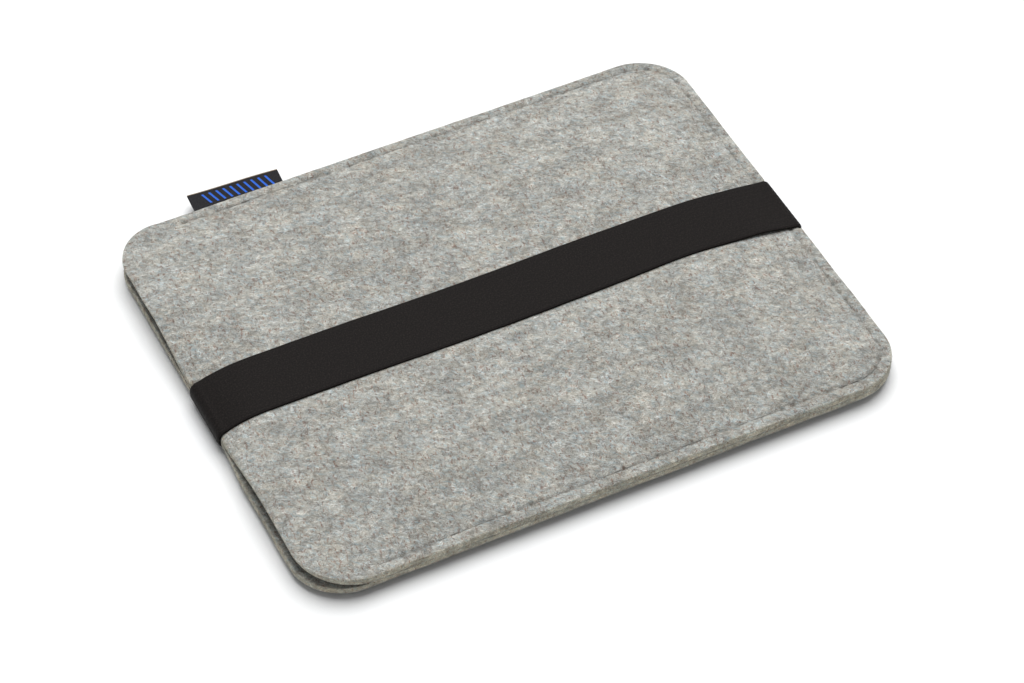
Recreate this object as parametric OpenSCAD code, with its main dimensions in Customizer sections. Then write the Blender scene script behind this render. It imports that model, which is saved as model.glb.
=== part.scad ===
// Felt sleeve for a tablet, closed by an elastic band.
// Two felt panels lie one on the other. A seam joins them along both long sides and one end,
// and the other end is the mouth. A loop of elastic runs lengthwise round both ends.
// Origin: middle of the band's underside, on the surface that the sleeve lies on.
// +X points to the closed end, +Y to the side with the label, +Z up.

/* [Felt panels] */
// Length of the panels, from the mouth to the closed end
panel_l = 260; // [200:1:340]
// Width of the panels
panel_w = 212; // [160:1:280]
// Radius of the panels' corners
corner_r = 23; // [12:1:36]
// Thickness of one layer of felt
felt_t = 3.2; // [2:0.1:4]

/* [Pocket] */
// Height of the empty pocket between the panels
pocket_h = 6; // [3:0.1:9]
// Share of the pocket's height that bulges upwards
pocket_up = 0.7; // [0.5:0.05:0.9]
// Distance over which a panel rises from its seam to the full height
rise_l = 60; // [30:1:75]
// Distance over which a panel rises from the mouth to the full height
mouth_l = 40; // [20:1:60]
// Gap between the lips of the mouth beside the band
mouth_gap = 1.4; // [0.4:0.1:3]
// Share of that gap that the band presses shut
mouth_pinch = 0.8; // [0:0.05:0.9]
// Depth of the dip in the upper panel between its two crowns
dip_h = 0.8; // [0:0.1:1.5]
// Place of the dip's middle along the sleeve
dip_x = -15; // [-40:1:20]
// Half the length of the dip
dip_l = 60; // [30:1:70]

/* [Seam] */
// Distance from the felt's edge to the stitch line
seam_inset = 4.5; // [3:0.5:8]
// Gap between the two layers at the seam
seam_gap = 0.1; // [0.05:0.05:0.3]
// Depth of the groove that the stitches pull into the felt
groove_h = 0.8; // [0.2:0.1:1]
// Half the width of the groove
groove_w = 1.6; // [1:0.1:2.4]
// Length of one stitch
stitch_l = 5; // [3:0.5:8]
// Thickness of the sewing thread
thread_t = 0.5; // [0.3:0.05:0.7]

/* [Elastic band] */
// Width of the elastic
band_w = 30; // [15:1:50]
// Thickness of the elastic
band_t = 1.1; // [0.8:0.1:2]
// Clearance between the band and the felt
band_clear = 0.3; // [0.2:0.05:1]
// Number of rubber cores in the elastic
core_n = 12; // [4:1:16]
// Width of one rubber core
core_w = 1.3; // [0.5:0.1:1.4]
// Thickness of one rubber core
core_t = 0.5; // [0.3:0.1:0.6]
// Clearance of a core in its channel
core_clear = 0.05; // [0.02:0.01:0.1]

/* [Band join] */
// Distance from the closed end to the line where the elastic's two ends meet
join_inset = 30; // [20:1:50]
// Gap between the elastic's two ends
join_gap = 0.2; // [0.1:0.1:1]
// Width of the zigzag stitch across the join
zigzag_w = 7; // [4:0.5:10]
// Number of stitches in the zigzag
zigzag_n = 12; // [6:1:16]
// Depth to which a zigzag thread is sunk into the elastic
zigzag_sink = 0.28; // [0.2:0.02:0.3]

/* [Label] */
// Width of the label along the seam
label_w = 40; // [20:1:60]
// Distance from the mouth to the label's middle
label_x = 60; // [50:1:90]
// Length of the tab that stands out of the seam, at its middle
label_out = 11; // [6:0.5:16]
// Length of the tail inside the seam, at its middle
label_in = 8; // [5:0.5:12]
// Thickness of one layer of the label's ribbon
label_t = 0.3; // [0.2:0.05:0.4]
// Angle by which the label is sewn in askew
label_skew = 4; // [0:0.5:6]
// Gap from the felt's edge to the tab's bending line
label_gap = 0.9; // [0.8:0.1:2]

/* [Hidden] */

felt_grey = [0.66, 0.66, 0.64];
elastic_black = [0.13, 0.13, 0.12];
rubber_grey = [0.35, 0.33, 0.30];
label_black = [0.16, 0.15, 0.17];

half_l = panel_l / 2;
half_w = panel_w / 2;
mouth_x = -half_l;
// The seam starts where the mouth's corners end.
seam_start_x = mouth_x + corner_r;
seam_y = half_w - seam_inset;
seam_end_x = half_l - seam_inset;
seam_r = corner_r - seam_inset;

// Heights, from the band's underside upwards.
crown_down = (1 - pocket_up) * pocket_h;
crown_up = pocket_up * pocket_h;
edge_z = band_t + band_clear + crown_down;
lower_top_z = edge_z + felt_t;
upper_bottom_z = lower_top_z + seam_gap;
edge_top_z = upper_bottom_z + felt_t;
seam_z = (lower_top_z + upper_bottom_z) / 2;

// ---- Shape of the felt ----

function clamp01(v) = max(0, min(1, v));
// Rises from 0 to 1 and arrives level.
function ease_out(v) = 1 - pow(1 - clamp01(v), 2);
function ease_in_out(v) = let (c = clamp01(v)) c * c * (3 - 2 * c);

// Half the panel's width at x, with the corners rounded.
function half_width(x) =
  let (into = max(0, abs(x) - (half_l - corner_r)))
  half_w - corner_r + sqrt(max(0, corner_r * corner_r - into * into));

// Distance inside the outline's long sides and closed end.
function edge_distance(x, y) =
  let (
    in_x = half_l - corner_r - x,
    in_y = half_w - corner_r - abs(y)
  )
  (in_x < 0 && in_y < 0) ? corner_r - norm([in_x, in_y]) : corner_r + min(in_x, in_y);

// Distance from the sewn line into the pocket.
function seam_distance(x, y) =
  x >= seam_start_x
    ? max(0, edge_distance(x, y) - seam_inset)
    : norm([x - seam_start_x, max(0, seam_y - abs(y))]);

// Height of the pocket along the sleeve, away from the side seams.
function pocket_height(x) = mouth_gap + (pocket_h - mouth_gap) * ease_out((x - mouth_x) / mouth_l);

function dip(x) = dip_h * pow(max(0, 1 - pow((x - dip_x) / dip_l, 2)), 2);

// Share of the full height that is left beside the seams and under the band at the mouth.
pinch_fade = 35;
function fullness(x, y) =
  let (
    near_mouth = 1 - ease_out((x - mouth_x) / mouth_l),
    near_band = 1 - ease_in_out((abs(y) - band_w / 2) / pinch_fade)
  )
  ease_out(seam_distance(x, y) / rise_l) * (1 - mouth_pinch * near_mouth * near_band);

function rise_up(x) = pocket_up * pocket_height(x) - dip(x);
function rise_down(x) = (1 - pocket_up) * pocket_height(x);

// The groove is as deep as it can be only where there is a seam.
function groove(x, y) =
  let (off = abs(edge_distance(x, y) - seam_inset) / groove_w)
  (x < seam_start_x - stitch_l) ? 0 : groove_h * pow(max(0, 1 - off * off), 2);

function upper_inner_z(x, y) = upper_bottom_z + rise_up(x) * fullness(x, y);
function upper_outer_z(x, y) = upper_inner_z(x, y) + felt_t - groove(x, y);
function lower_inner_z(x, y) = lower_top_z - rise_down(x) * fullness(x, y);
function lower_outer_z(x, y) = lower_inner_z(x, y) - felt_t + groove(x, y);

// ---- Grid on which a panel is drawn ----

margin = [0, seam_inset - groove_w, seam_inset, seam_inset + groove_w];
// The corner arcs turn fastest at the ends, so they get one more column there.
end_margin = [0, 0.3 * margin[1], margin[1], margin[2], margin[3]];
corner_steps = 5;
span_steps = 15;
side_steps = 8;

end_columns = concat(
  end_margin,
  [for (i = [1 : corner_steps])
    let (from = seam_inset + groove_w) from + (corner_r - from) * i / corner_steps]
);
span = panel_l - 2 * corner_r;
columns = concat(
  [for (d = end_columns) mouth_x + d],
  [for (i = [1 : span_steps - 1]) mouth_x + corner_r + span * i / span_steps],
  [for (i = [len(end_columns) - 1 : -1 : 0]) half_l - end_columns[i]]
);

// Places across the panel at column x, from -Y to +Y.
function rows(x) =
  let (
    h = half_width(x),
    inner = h - seam_inset - groove_w,
    side = concat(
      [for (d = margin) h - d],
      [for (i = [1 : side_steps]) inner * (1 - i / side_steps)]
    )
  )
  concat([for (y = side) -y], [for (i = [len(side) - 2 : -1 : 0]) side[i]]);

row_n = len(rows(0));
column_n = len(columns);

// A sheet between two surfaces, given as the heights of its upper and its lower side.
module sheet(tops, bottoms) {
  at = [for (x = columns) for (y = rows(x)) [x, y]];
  n = column_n * row_n;
  points = concat(
    [for (i = [0 : n - 1]) [at[i].x, at[i].y, tops[i]]],
    [for (i = [0 : n - 1]) [at[i].x, at[i].y, bottoms[i]]]
  );
  last = column_n - 1;
  faces = concat(
    [for (i = [0 : last - 1]) for (j = [0 : row_n - 2])
      let (a = i * row_n + j, b = a + row_n) for (f = [[a, a + 1, b + 1], [a, b + 1, b]]) f],
    [for (i = [0 : last - 1]) for (j = [0 : row_n - 2])
      let (a = n + i * row_n + j, b = a + row_n) for (f = [[a, b + 1, a + 1], [a, b, b + 1]]) f],
    [for (i = [0 : last - 1])
      let (a = i * row_n, b = a + row_n) for (f = [[a, b, b + n], [a, b + n, a + n]]) f],
    [for (i = [0 : last - 1])
      let (a = i * row_n + row_n - 1, b = a + row_n) for (f = [[a, b + n, b], [a, a + n, b + n]]) f],
    [for (j = [0 : row_n - 2]) for (f = [[j, j + 1 + n, j + 1], [j, j + n, j + 1 + n]]) f],
    [for (j = [0 : row_n - 2])
      let (a = last * row_n + j) for (f = [[a, a + 1, a + 1 + n], [a, a + 1 + n, a + n]]) f]
  );
  polyhedron(points = points, faces = faces, convexity = 4);
}

module upper_panel() {
  color(felt_grey)
    sheet(
      [for (x = columns) for (y = rows(x)) upper_outer_z(x, y)],
      [for (x = columns) for (y = rows(x)) upper_inner_z(x, y)]
    );
}

module lower_panel() {
  color(felt_grey)
    sheet(
      [for (x = columns) for (y = rows(x)) lower_inner_z(x, y)],
      [for (x = columns) for (y = rows(x)) lower_outer_z(x, y)]
    );
}

// ---- Edge seam ----

seam_straight = seam_end_x - seam_r - seam_start_x;
seam_arc = PI / 2 * seam_r;
seam_across = 2 * (seam_y - seam_r);
seam_l = 2 * seam_straight + 2 * seam_arc + seam_across;
stitch_n = round(seam_l / stitch_l);
stitch_pitch = seam_l / stitch_n;
// The thread goes down and comes up again this far each side of a hole's middle.
leg_offset = 0.45;
// The two threads' loops pass each other in the hole with this gap between them.
loop_gap = 0.1;
loop_offset = (thread_t + loop_gap) / 2;

function seam_corner(turn, side) =
  [seam_end_x - seam_r + seam_r * sin(turn), side * (seam_y - seam_r + seam_r * cos(turn))];

// Point of the seam at distance d from its start, on the +Y side, with its sideways direction.
function seam_point(d) =
  d > seam_l / 2
    ? let (p = seam_point(seam_l - d)) [p[0], -p[1], p[2], -p[3]]
    : d < seam_straight
    ? [seam_start_x + d, seam_y, 0, 1]
    : d < seam_straight + seam_arc
    ? let (turn = 90 * (d - seam_straight) / seam_arc, c = seam_corner(turn, 1))
      [c.x, c.y, sin(turn), cos(turn)]
    : [seam_end_x, seam_y - seam_r - (d - seam_straight - seam_arc), 1, 0];

// Route of a thread as [distance along the seam, height above the seam's middle].
function thread_route(top) = concat(
  [[-leg_offset, loop_offset]],
  [for (k = [0 : stitch_n - 1]) let (d = k * stitch_pitch)
    for (p = [
      [d + leg_offset, loop_offset],
      [d + leg_offset, top],
      [d + stitch_pitch - leg_offset, top],
      [d + stitch_pitch - leg_offset, loop_offset]
    ]) p],
  [[seam_l + leg_offset, loop_offset]]
);

function unit(v) = v / norm(v);
function turned(v) = [-v[1], v[0]];

// Sideways move of a route's point i that keeps both its edges half a width off the route.
function mitre(route, i) =
  let (
    before = unit(route[max(1, i)] - route[max(1, i) - 1]),
    after = unit(route[min(len(route) - 2, i) + 1] - route[min(len(route) - 2, i)]),
    side = unit(turned(before) + turned(after))
  )
  side / (side * turned(before));

// A square thread along the seam. up is 1 for the needle thread and -1 for the bobbin thread.
module seam_thread(up) {
  top = edge_top_z - groove_h - seam_z + thread_t / 4;
  route = thread_route(top);
  half_t = thread_t / 2;
  points = [for (i = [0 : len(route) - 1])
    let (m = mitre(route, i) * half_t)
    for (q = [[1, 1], [1, -1], [-1, -1], [-1, 1]])
      let (at = route[i] + q[0] * m, p = seam_point(clamp01(at[0] / seam_l) * seam_l))
      [p[0] + p[2] * q[1] * half_t, p[1] + p[3] * q[1] * half_t, seam_z + up * at[1]]
  ];
  last = len(route) - 1;
  sides = [for (i = [0 : last - 1]) for (q = [0 : 3])
    let (a = 4 * i + q, b = 4 * i + (q + 1) % 4)
    for (f = [[a, b, b + 4], [a, b + 4, a + 4]]) f];
  caps = [[3, 2, 1, 0], [for (q = [0 : 3]) 4 * last + q]];
  faces = concat(sides, caps);
  flipped = [for (f = faces) [for (i = [len(f) - 1 : -1 : 0]) f[i]]];
  polyhedron(points = points, faces = up > 0 ? faces : flipped, convexity = 10);
}

module seam_needle_thread() {
  color(felt_grey) seam_thread(1);
}

module seam_bobbin_thread() {
  color(felt_grey) seam_thread(-1);
}

// ---- Elastic band ----

// The band clears the fullest section of the sleeve, so it can be drawn off sideways.
function full_share(x) = ease_out(seam_distance(x, 0) / rise_l);
function band_over_z(x) = edge_top_z + rise_up(x) * full_share(x) + band_clear;
function band_under_z(x) = edge_z - rise_down(x) * full_share(x) - band_clear;

// Inside radius of the band's turns, small enough to clear the felt's square edges.
band_turn_r = 2 * band_clear;
turn_steps = 4;
band_steps = 26;
band_end_x = half_l + band_clear - band_turn_r;
join_x = half_l - join_inset;

function band_turn(x, z, from) =
  [for (i = [0 : turn_steps])
    let (a = from + 90 * i / turn_steps) [x + band_turn_r * cos(a), z + band_turn_r * sin(a)]];

function under_strand(from, to, steps) =
  [for (i = [0 : steps]) let (x = from + (to - from) * i / steps) [x, band_under_z(x)]];

// Inside line of the band in the XZ plane: from the join to the closed end, over the top,
// round the mouth and back to the join.
join_steps = 4;
band_line = concat(
  [for (i = [0 : join_steps - 1])
    under_strand(join_x + join_gap / 2, band_end_x, join_steps)[i]],
  band_turn(band_end_x, band_under_z(band_end_x) + band_turn_r, -90),
  band_turn(band_end_x, band_over_z(band_end_x) - band_turn_r, 0),
  [for (i = [1 : band_steps - 1])
    let (x = band_end_x * (1 - 2 * i / band_steps)) [x, band_over_z(x)]],
  band_turn(-band_end_x, band_over_z(-band_end_x) - band_turn_r, 90),
  band_turn(-band_end_x, band_under_z(-band_end_x) + band_turn_r, 180),
  [for (i = [1 : band_steps])
    under_strand(-band_end_x, join_x - join_gap / 2, band_steps)[i]]
);

function moved_line(off) =
  [for (i = [0 : len(band_line) - 1]) band_line[i] - mitre(band_line, i) * off];

function reversed(v) = [for (i = [len(v) - 1 : -1 : 0]) v[i]];

// A strip between two offsets from the band's inside line, from y_from over a width.
module strip(inside, outside, y_from, width) {
  translate([0, y_from + width, 0])
    rotate([90, 0, 0])
      linear_extrude(height = width)
        polygon(concat(moved_line(inside), reversed(moved_line(outside))));
}

core_pitch = band_w / core_n;
function core_y(k) = (k + 0.5) * core_pitch - band_w / 2;

module elastic_band() {
  channel_w = core_w + 2 * core_clear;
  channel_from = (band_t - core_t) / 2 - core_clear;
  color(elastic_black)
    difference() {
      strip(0, band_t, -band_w / 2, band_w);
      for (k = [0 : core_n - 1])
        strip(channel_from, band_t - channel_from, core_y(k) - channel_w / 2, channel_w);
    }
}

module elastic_cores() {
  core_from = (band_t - core_t) / 2;
  color(rubber_grey)
    for (k = [0 : core_n - 1])
      strip(core_from, band_t - core_from, core_y(k) - core_w / 2, core_w);
}

// ---- Zigzag over the band's join ----

zigzag_edge = 2;
join_slope = atan2(
  band_under_z(join_x + zigzag_w / 2) - band_under_z(join_x - zigzag_w / 2),
  zigzag_w
);

// Route of the zigzag, seen from above, with the join along Y through the origin.
zigzag_route = [for (k = [0 : zigzag_n])
  [
    (k % 2 == 0 ? -1 : 1) * zigzag_w / 2,
    (band_w - 2 * zigzag_edge) * (k / zigzag_n - 0.5)
  ]
];

function beside_zigzag(off) =
  [for (k = [0 : zigzag_n]) zigzag_route[k] + mitre(zigzag_route, k) * off];

module zigzag(from, height) {
  translate([join_x, 0, band_under_z(join_x)])
    rotate([0, -join_slope, 0])
      translate([0, 0, from])
        linear_extrude(height = height)
          polygon(concat(beside_zigzag(thread_t / 2), reversed(beside_zigzag(-thread_t / 2))));
}

zigzag_proud = 0.05;

module join_needle_thread() {
  color(elastic_black) zigzag(-band_t - zigzag_proud, zigzag_sink + zigzag_proud);
}

module join_bobbin_thread() {
  color(elastic_black) zigzag(-zigzag_sink, zigzag_sink + zigzag_proud);
}

// ---- Label ----

label_mid_x = mouth_x + label_x;
ply_gap = 0.1;
fold_r = label_t + ply_gap / 2;
// Length by which a cutting shape runs past what it cuts.
overcut = 1;
hinge_y = half_w + label_gap;
// The tab begins this far before its bending line.
tab_root = 0.3;
ribbon_l = label_out + label_in;

// The folded ribbon as sewn in, with its fold at +Y.
module folded_ribbon() {
  translate([label_mid_x, half_w, seam_z])
    rotate([0, 0, -label_skew])
      translate([-label_w / 2, 0, 0])
        rotate([90, 0, 90])
          linear_extrude(height = label_w)
            difference() {
              union() {
                translate([-label_in, -fold_r])
                  square([ribbon_l - fold_r, 2 * fold_r]);
                translate([label_out - fold_r, 0])
                  circle(r = fold_r, $fn = 24);
              }
              translate([-label_in - overcut, -ply_gap / 2])
                square([ribbon_l - fold_r + overcut, ply_gap]);
            }
}

label_reach = label_w + ribbon_l;

module label_tail() {
  color(label_black)
    intersection() {
      folded_ribbon();
      translate([label_mid_x - label_reach, half_w - label_reach, seam_z - label_reach / 2])
        cube([2 * label_reach, label_reach, label_reach]);
    }
}

module label_tab() {
  color(label_black)
    intersection() {
      folded_ribbon();
      translate([label_mid_x - label_reach, hinge_y - tab_root, seam_z - label_reach / 2])
        cube([2 * label_reach, label_reach, label_reach]);
    }
}

upper_panel();
lower_panel();
seam_needle_thread();
seam_bobbin_thread();
elastic_band();
elastic_cores();
join_needle_thread();
join_bobbin_thread();
label_tail();
label_tab();
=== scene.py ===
import math
import random

import bmesh
import bpy
from mathutils import Matrix, Vector, noise


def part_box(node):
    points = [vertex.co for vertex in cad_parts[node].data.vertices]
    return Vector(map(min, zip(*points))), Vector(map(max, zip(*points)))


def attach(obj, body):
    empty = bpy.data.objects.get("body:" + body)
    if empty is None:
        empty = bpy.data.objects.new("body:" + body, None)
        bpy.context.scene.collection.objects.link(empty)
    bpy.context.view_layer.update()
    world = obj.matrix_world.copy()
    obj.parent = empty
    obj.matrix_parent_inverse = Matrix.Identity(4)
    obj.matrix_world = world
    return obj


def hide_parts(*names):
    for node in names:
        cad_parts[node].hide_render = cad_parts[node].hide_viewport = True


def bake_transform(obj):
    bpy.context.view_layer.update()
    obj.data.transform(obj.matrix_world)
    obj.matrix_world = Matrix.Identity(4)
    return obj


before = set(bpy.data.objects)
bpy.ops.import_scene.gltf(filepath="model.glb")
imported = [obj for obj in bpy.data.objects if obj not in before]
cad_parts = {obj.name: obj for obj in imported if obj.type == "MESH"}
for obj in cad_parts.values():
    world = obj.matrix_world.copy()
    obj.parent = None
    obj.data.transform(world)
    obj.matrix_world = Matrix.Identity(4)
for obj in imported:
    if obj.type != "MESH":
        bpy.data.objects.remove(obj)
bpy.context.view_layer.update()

MM = 0.001


# ---- Table, light and camera ----
# The sleeve lies on a plain white table. A wide soft light hangs over it, a little behind and to
# the right, and the white room fills the shadows, so only the gap under the edges turns dark.

TABLE_SIZE = 6.0
TABLE_COLOUR = (0.90, 0.90, 0.90, 1.0)
ROOM_COLOUR = (0.985, 0.995, 1.0, 1.0)
ROOM_STRENGTH = 0.28
KEY_SIZE = 2.9
KEY_POWER = 94.0
KEY_PLACE = Vector((0.50, 0.80, 2.40))
KEY_COLOUR = (0.985, 0.995, 1.0)

table_shape = bmesh.new()
bmesh.ops.create_grid(table_shape, x_segments=1, y_segments=1, size=TABLE_SIZE / 2)
table_mesh = bpy.data.meshes.new("table")
table_shape.to_mesh(table_mesh)
table_shape.free()
table = bpy.data.objects.new("table", table_mesh)
bpy.context.collection.objects.link(table)
table_paint = bpy.data.materials.new("table_white")
table_paint.use_nodes = True
table_shader = table_paint.node_tree.nodes["Principled BSDF"]
table_shader.inputs["Base Color"].default_value = TABLE_COLOUR
table_shader.inputs["Roughness"].default_value = 1.0
table_shader.inputs["Specular IOR Level"].default_value = 0.0
table_mesh.materials.append(table_paint)

room = bpy.data.worlds.new("room")
room.use_nodes = True
room_light = room.node_tree.nodes["Background"]
room_light.inputs["Color"].default_value = ROOM_COLOUR
room_light.inputs["Strength"].default_value = ROOM_STRENGTH
bpy.context.scene.world = room

key_data = bpy.data.lights.new("key", "AREA")
key_data.shape = "DISK"
key_data.size = KEY_SIZE
key_data.energy = KEY_POWER
key_data.color = KEY_COLOUR
key = bpy.data.objects.new("key", key_data)
key.location = KEY_PLACE
key.rotation_mode = "QUATERNION"
key.rotation_quaternion = (-KEY_PLACE).to_track_quat("-Z", "Y")
bpy.context.collection.objects.link(key)

CAMERA_AZIMUTH = math.radians(-25.72)
CAMERA_ELEVATION = math.radians(46.77)
CAMERA_ROLL = math.radians(-0.70)
CAMERA_DISTANCE = 1.437
CAMERA_LENS = 125.3
CAMERA_AIM = Vector((-0.0029, -0.0150, 0.0032))

camera_data = bpy.data.cameras.new("camera")
camera_data.lens = CAMERA_LENS
camera_data.sensor_width = 36.0
camera = bpy.data.objects.new("camera", camera_data)
camera_back = Vector((
    math.sin(CAMERA_AZIMUTH) * math.cos(CAMERA_ELEVATION),
    -math.cos(CAMERA_AZIMUTH) * math.cos(CAMERA_ELEVATION),
    math.sin(CAMERA_ELEVATION),
))
camera.location = CAMERA_AIM + camera_back * CAMERA_DISTANCE
camera.rotation_mode = "QUATERNION"
upright = (-camera_back).to_track_quat("-Z", "Y")
camera.rotation_quaternion = Matrix.Rotation(CAMERA_ROLL, 4, camera_back).to_quaternion() @ upright
bpy.context.collection.objects.link(camera)
bpy.context.scene.camera = camera
bpy.context.scene.view_settings.view_transform = "Standard"


# ---- Felt panels ----
# Two rounded rectangles of pressed wool felt, 3.2 mm thick, lie one on the other. Their die-cut
# edges are worn round and rough. The seam holds them together along three sides, the felt's own
# stiffness bulges them apart in between, and the elastic presses the mouth shut.

upper_low, upper_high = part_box("upper_panel")
lower_low, lower_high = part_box("lower_panel")
HALF_L = upper_high.x
HALF_W = upper_high.y
FELT_T = 3.2 * MM
CORNER_R = 23.0 * MM
SEAM_Z = (upper_low.z + lower_high.z) / 2
SEAM_GAP = 0.03 * MM
SAG = 0.25 * MM
CROWN_UP = upper_high.z - upper_low.z - FELT_T
CROWN_DOWN = lower_high.z - lower_low.z - FELT_T + SAG
SEAM_INSET = 4.5 * MM
SEAM_WANDER = 0.9 * MM
WANDER_FROM = 0.62
WANDER_TO = 0.9
WANDER_FADE = 0.1
WAVER_SHARE = 0.35
WAVER_L = 45.0 * MM
SEAM_START = -HALF_L + CORNER_R
SEAM_Y = HALF_W - SEAM_INSET
STITCH_L = 5.0 * MM
RISE_L = 60.0 * MM
MOUTH_L = 20.0 * MM
UPPER_LIP_DROP = 0.12
LOWER_LIP_DROP_FRONT = 0.45
LOWER_LIP_DROP_BACK = 0.25
LIP_CURL = 0.75 * MM
LIP_CURL_L = 8.0 * MM
LIP_LEAN_UPPER = 1.25 * MM
LIP_LEAN_LOWER = 0.5 * MM
LIP_LEAN_L = 9.0 * MM
LIP_OVERHANG_FRONT = 1.2 * MM
LIP_OVERHANG_BACK = -0.1 * MM
DIP = 0.8 * MM
DIP_X = -15.0 * MM
DIP_L = 60.0 * MM
BAND_HALF_W = 14.8 * MM
BAND_FADE = 45.0 * MM
BAND_BITE = 0.75 * MM
BAND_BITE_L = 5.0 * MM
LOWER_BITE = 0.8
BAND_BITE_FADE = 1.4 * MM
CRUSH_R = 2.0 * MM
GROOVE = 0.38 * MM
GROOVE_W = 1.15 * MM
GROOVE_REACH = 5.0 * GROOVE_W
HOLE_DEPTH = 0.50 * MM
HOLE_R = 0.95 * MM
HOLE_PULL_LEAST = 0.1
HOLE_PULL_MOST = 1.5
RIM_DROOP = 0.40 * MM
RIM_DROOP_L = 1.1 * MM
FELT_WAVES = ((0.16, 38.0, 0.0), (0.07, 6.5, 3.0), (0.06, 2.6, 7.0))


def clamp01(value):
    return min(max(value, 0.0), 1.0)


def ease_out(value):
    return 1.0 - (1.0 - clamp01(value)) ** 2


def smooth(value):
    value = clamp01(value)
    return value * value * (3.0 - 2.0 * value)


def ripple(x, y, size, seed):
    return noise.noise(Vector((x / size, y / size, seed)))


def edge_distance(x, y):
    """Distance inside the outline's long sides and closed end."""
    in_x, in_y = HALF_L - CORNER_R - x, HALF_W - CORNER_R - abs(y)
    if in_x < 0.0 and in_y < 0.0:
        return CORNER_R - math.hypot(in_x, in_y)
    return CORNER_R + min(in_x, in_y)


def seam_distance(x, y):
    if x >= SEAM_START:
        return max(0.0, edge_distance(x, y) - SEAM_INSET)
    return math.hypot(x - SEAM_START, max(0.0, SEAM_Y - abs(y)))


SEAM_R = CORNER_R - SEAM_INSET
SEAM_STRAIGHT = HALF_L - CORNER_R - SEAM_START
SEAM_ARC = math.pi / 2 * SEAM_R
SEAM_ACROSS = 2 * (HALF_W - CORNER_R)
SEAM_L = 2 * (SEAM_STRAIGHT + SEAM_ARC) + SEAM_ACROSS
STITCH_N = round(SEAM_L / STITCH_L)
STITCH_PITCH = SEAM_L / STITCH_N
stitch_chance = random.Random(17)
HOLE_PULL = [
    stitch_chance.uniform(HOLE_PULL_LEAST, HOLE_PULL_MOST) for _ in range(STITCH_N + 1)
]


def seam_drift(along):
    """Stray of the hand-guided stitch line inwards, mostly on the side opposite the label."""
    share = clamp01(along / SEAM_L)
    begun = smooth((share - WANDER_FROM) / WANDER_FADE)
    over = smooth((share - WANDER_TO) / WANDER_FADE)
    waver = WAVER_SHARE * ripple(along, 0.0, WAVER_L, 5.0)
    return SEAM_WANDER * (begun * (1.0 - over) + waver)


def seam_course(along):
    """Place and direction of the mean seam at a distance from its start by the label."""
    if along > SEAM_L / 2:
        x, y, dx, dy = seam_course(SEAM_L - along)
        return x, -y, -dx, dy
    if along < SEAM_STRAIGHT:
        return SEAM_START + along, SEAM_Y, 1.0, 0.0
    turn = (along - SEAM_STRAIGHT) / SEAM_R
    if turn < math.pi / 2:
        centre_x, centre_y = HALF_L - CORNER_R, HALF_W - CORNER_R
        x, y = centre_x + SEAM_R * math.sin(turn), centre_y + SEAM_R * math.cos(turn)
        return x, y, math.cos(turn), -math.sin(turn)
    return HALF_L - SEAM_INSET, HALF_W - CORNER_R - (along - SEAM_STRAIGHT - SEAM_ARC), 0.0, -1.0


def seam_point(along):
    """Place and direction of the seam as it was really sewn."""
    x, y, dx, dy = seam_course(along)
    inwards = seam_drift(along)
    return x + dy * inwards, y - dx * inwards, dx, dy


def seam_place(x, y):
    """Distance along the seam of the point nearest to x, y."""
    in_x, in_y = x - (HALF_L - CORNER_R), abs(y) - (HALF_W - CORNER_R)
    if in_x <= 0.0:
        along = x - SEAM_START
    elif in_y <= 0.0:
        along = SEAM_L / 2 - abs(y)
    else:
        along = SEAM_STRAIGHT + SEAM_R * math.atan2(in_x, in_y)
    return along if y > 0.0 else SEAM_L - along


def seam_offset(x, y):
    """Place of a point along the seam as sewn, and its distance from it."""
    along = seam_place(x, y)
    return along, edge_distance(x, y) - SEAM_INSET - seam_drift(along)


def groove(x, y):
    """Depth to which the stitches pull the felt in, deepest at the needle's holes."""
    along, off = seam_offset(x, y)
    if abs(off) > GROOVE_REACH or x < SEAM_START - STITCH_L:
        return 0.0
    inside = smooth((x - SEAM_START + STITCH_L) / STITCH_L)
    k = min(max(round(along / STITCH_PITCH), 0), STITCH_N)
    to_hole = along - STITCH_PITCH * k
    hole = HOLE_PULL[k] * HOLE_DEPTH * math.exp(-(to_hole ** 2 + off ** 2) / HOLE_R ** 2)
    return inside * (GROOVE * math.exp(-(off / GROOVE_W) ** 2) + hole)


def beside_band(y):
    return smooth((abs(y) - BAND_HALF_W) / BAND_FADE)


def bulge(x, y, crown, lip_drop):
    near_mouth = 1.0 - ease_out((x + HALF_L) / MOUTH_L)
    beside = beside_band(y)
    lip = 1.0 - near_mouth * (lip_drop * beside + (1.0 - beside))
    return crown * ease_out(seam_distance(x, y) / RISE_L) * lip


def bite(x, y):
    """Depth to which the stretched elastic presses into the felt and crushes its ends round."""
    from_end = max(0.0, HALF_L - abs(x))
    across = 1.0 - smooth((abs(y) - BAND_HALF_W) / BAND_BITE_FADE)
    into_round = max(0.0, CRUSH_R - from_end)
    crushed = CRUSH_R - math.sqrt(CRUSH_R ** 2 - into_round ** 2)
    return (BAND_BITE * math.exp(-from_end / BAND_BITE_L) + crushed) * across


def curl(x, y):
    into = clamp01(1.0 - (x + HALF_L) / LIP_CURL_L)
    return LIP_CURL * into * into * beside_band(y)


def dip(x):
    return DIP * max(0.0, 1.0 - ((x - DIP_X) / DIP_L) ** 2) ** 2


def rim_droop(x, y):
    """Depth to which the die and handling have worn the rim of a panel down."""
    into = min(edge_distance(x, y), edge_distance(-x, y))
    return RIM_DROOP * math.exp(-max(0.0, into) / RIM_DROOP_L)


def felt_surface(x, y, seed):
    """Low unevenness of pressed felt, from the whole panel's waves down to single tufts."""
    return sum(
        high * MM * ripple(x, y, size * MM, seed + shift) for high, size, shift in FELT_WAVES
    )


def upper_inner_z(x, y):
    return SEAM_Z + SEAM_GAP / 2 + bulge(x, y, CROWN_UP - dip(x), UPPER_LIP_DROP) - curl(x, y)


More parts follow.
